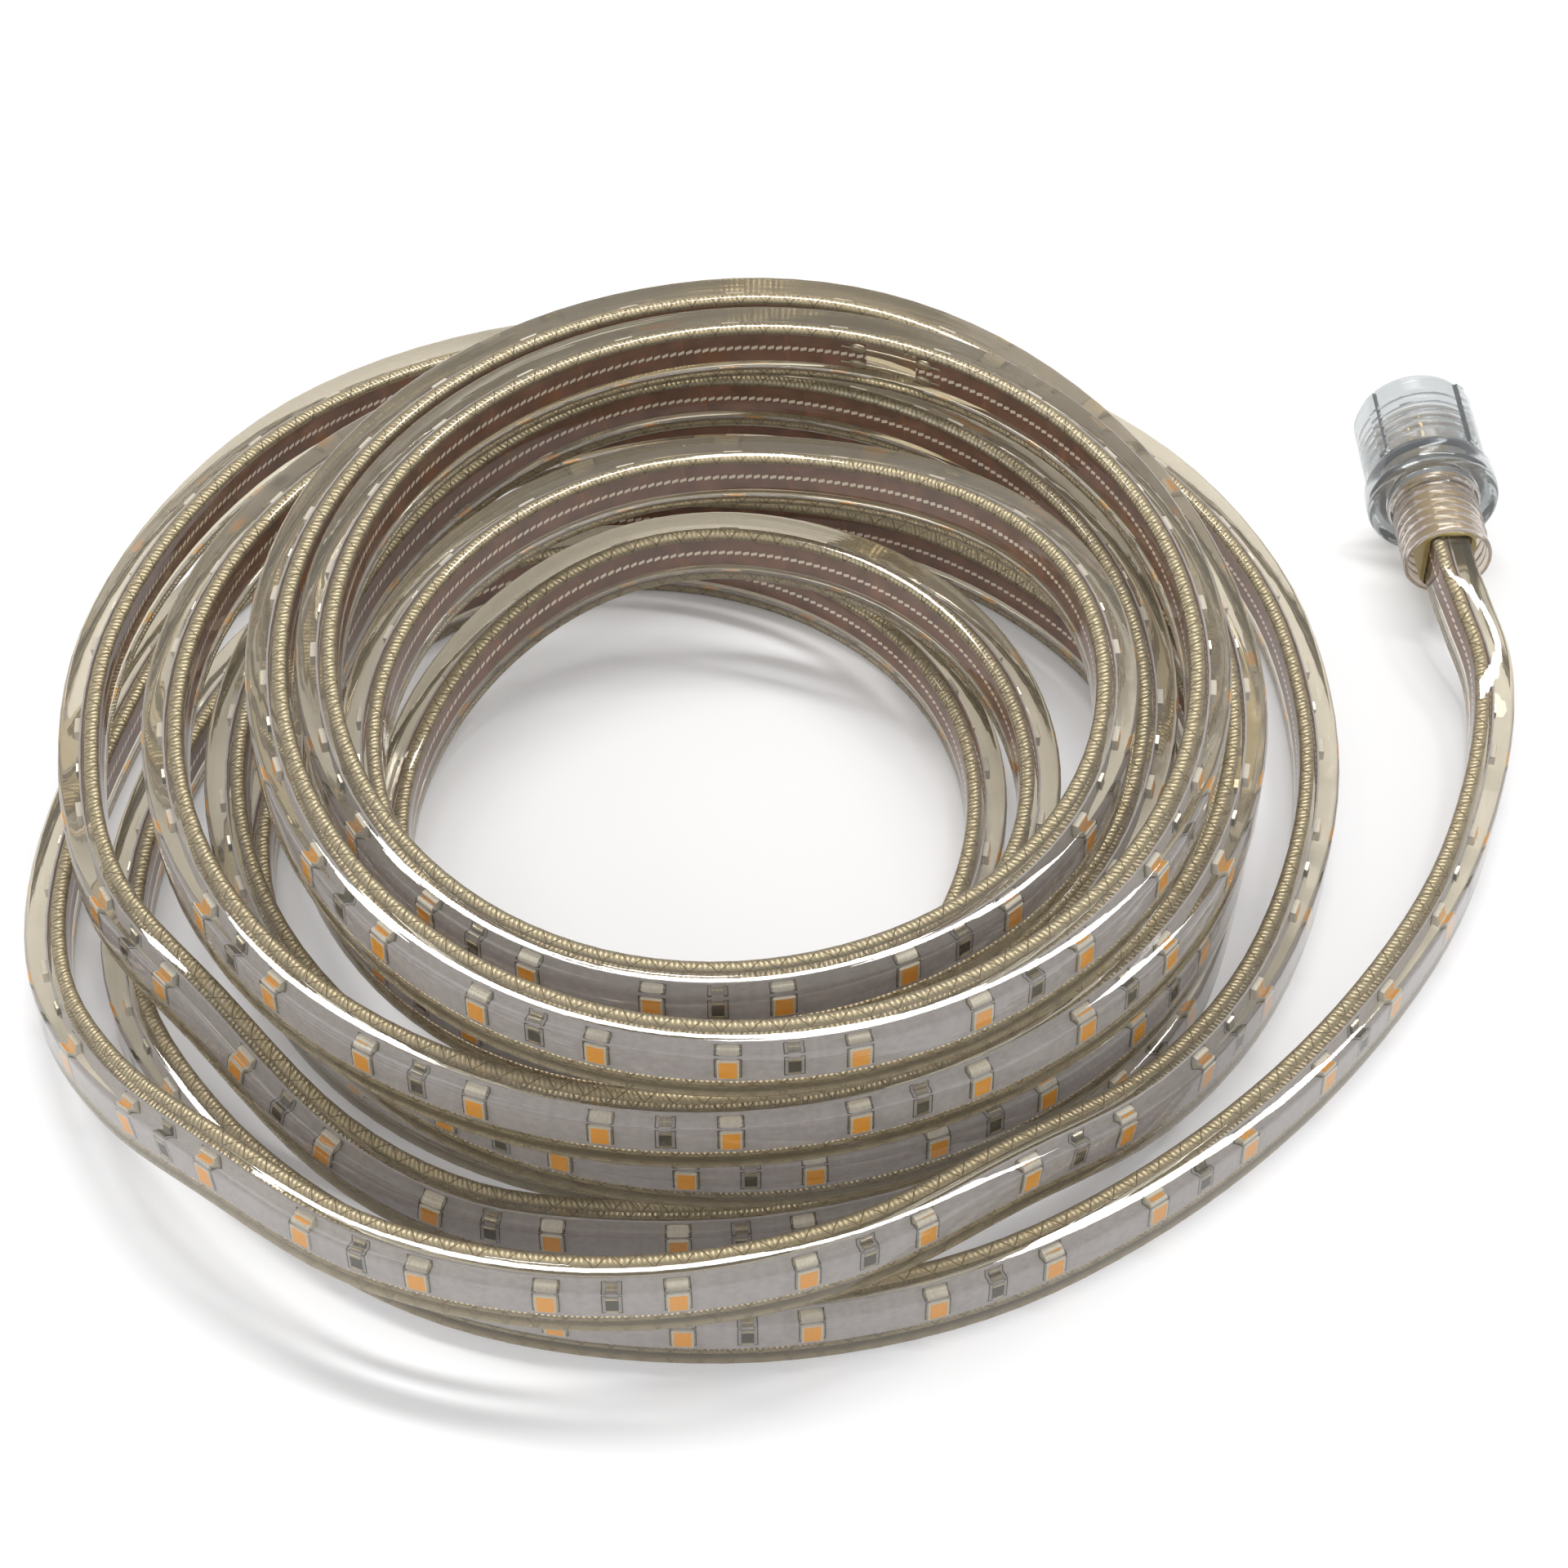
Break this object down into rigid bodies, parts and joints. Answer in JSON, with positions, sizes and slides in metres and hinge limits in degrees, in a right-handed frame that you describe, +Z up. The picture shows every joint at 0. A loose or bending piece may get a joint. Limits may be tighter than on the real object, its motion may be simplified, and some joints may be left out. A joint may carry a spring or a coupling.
{
  "type": "led strip light",
  "caption": "Coiled waterproof LED strip light in a clear flexible jacket, capped at one end, with a screw-collar connector at the other.",
  "frame": {"origin": "middle of the bounding box, at floor height", "axes": "+Z up, the way the coiled strip lies on a floor; -Y towards the picture's camera, so +X is to its right; the connector points along +Y"},
  "size_m": [0.2228, 0.2028, 0.0426],
  "materials": {
    "pvc": "clear, slightly yellow, glossy",
    "circuit": "white laminate with a copper-brown back",
    "moulding": "clear beige",
    "insert": "translucent amber",
    "collar": "clear",
    "seal": "dark blue-grey",
    "pin": "plated"
  },
  "bodies": {
    "strip": {"pvc_jacket": "pvc", "circuit_strip": "circuit", "end_cap": "moulding", "plug_body": "moulding", "strip_insert": "insert", "contact_carrier": "insert", "contact_pin_upper": "pin", "contact_pin_lower": "pin", "seal_ring": "seal"},
    "collar": {"screw_collar": "collar"}
  },
  "joints": [
    {"name": "collar_spin", "type": "hinge", "parent": "strip", "child": "collar", "pos_m": [0.10059, 0.06259, 0.01051], "axis": [-0.0461, 0.9989, 0], "continuous": true}
  ]
}
